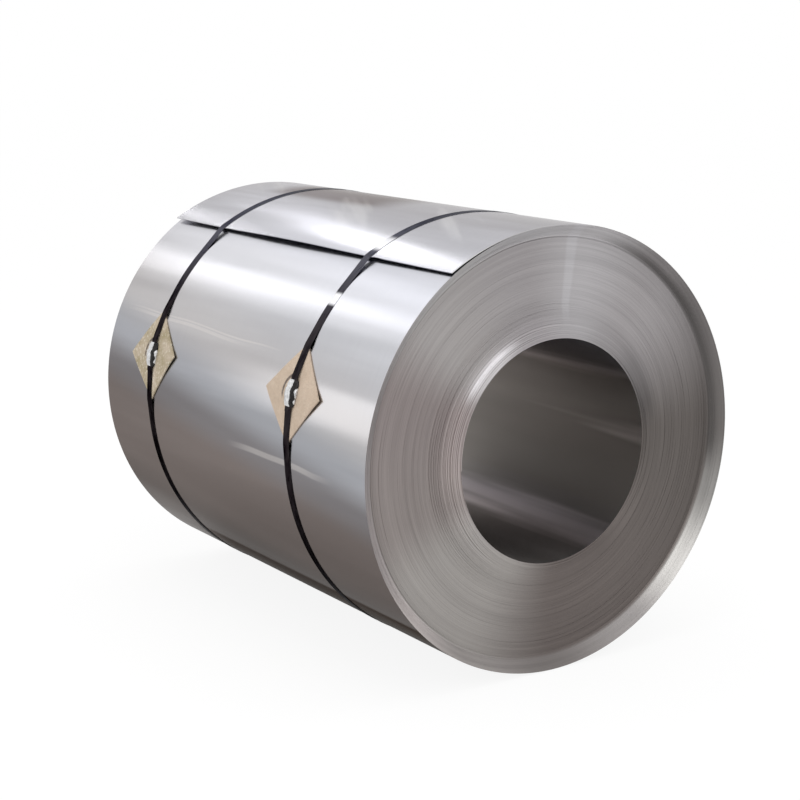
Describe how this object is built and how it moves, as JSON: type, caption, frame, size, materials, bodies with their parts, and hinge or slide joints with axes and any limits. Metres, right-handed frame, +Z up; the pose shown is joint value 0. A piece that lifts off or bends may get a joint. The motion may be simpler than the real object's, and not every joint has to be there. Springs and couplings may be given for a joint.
{
  "type": "steel coil",
  "caption": "Coil of steel strip lying on its side, with an open eye, stepped ends and a sprung outer end, held by steel straps with crimped seals over square pads.",
  "frame": {"origin": "middle of the eye, on its axis, half way along the innermost turns", "axes": "+X along the eye, out of the end whose outer turns stand out; the seals face -Y, and Z is up"},
  "size_m": [1.28, 1.0156, 1.0133],
  "materials": {
    "steel_strip": "bright cold-rolled strip, soft mirror along the sheet, edges of the turns matt",
    "strap_steel": "thin black lacquer, satin",
    "pad_board": "matt board with a soft surface",
    "seal_metal": "galvanised, crimped"
  },
  "bodies": {
    "root": {"coil": "steel_strip", "strap_near": "strap_steel", "strap_far": "strap_steel", "pad_near": "pad_board", "pad_far": "pad_board", "seal_near": "seal_metal", "seal_far": "seal_metal"}
  },
  "joints": []
}
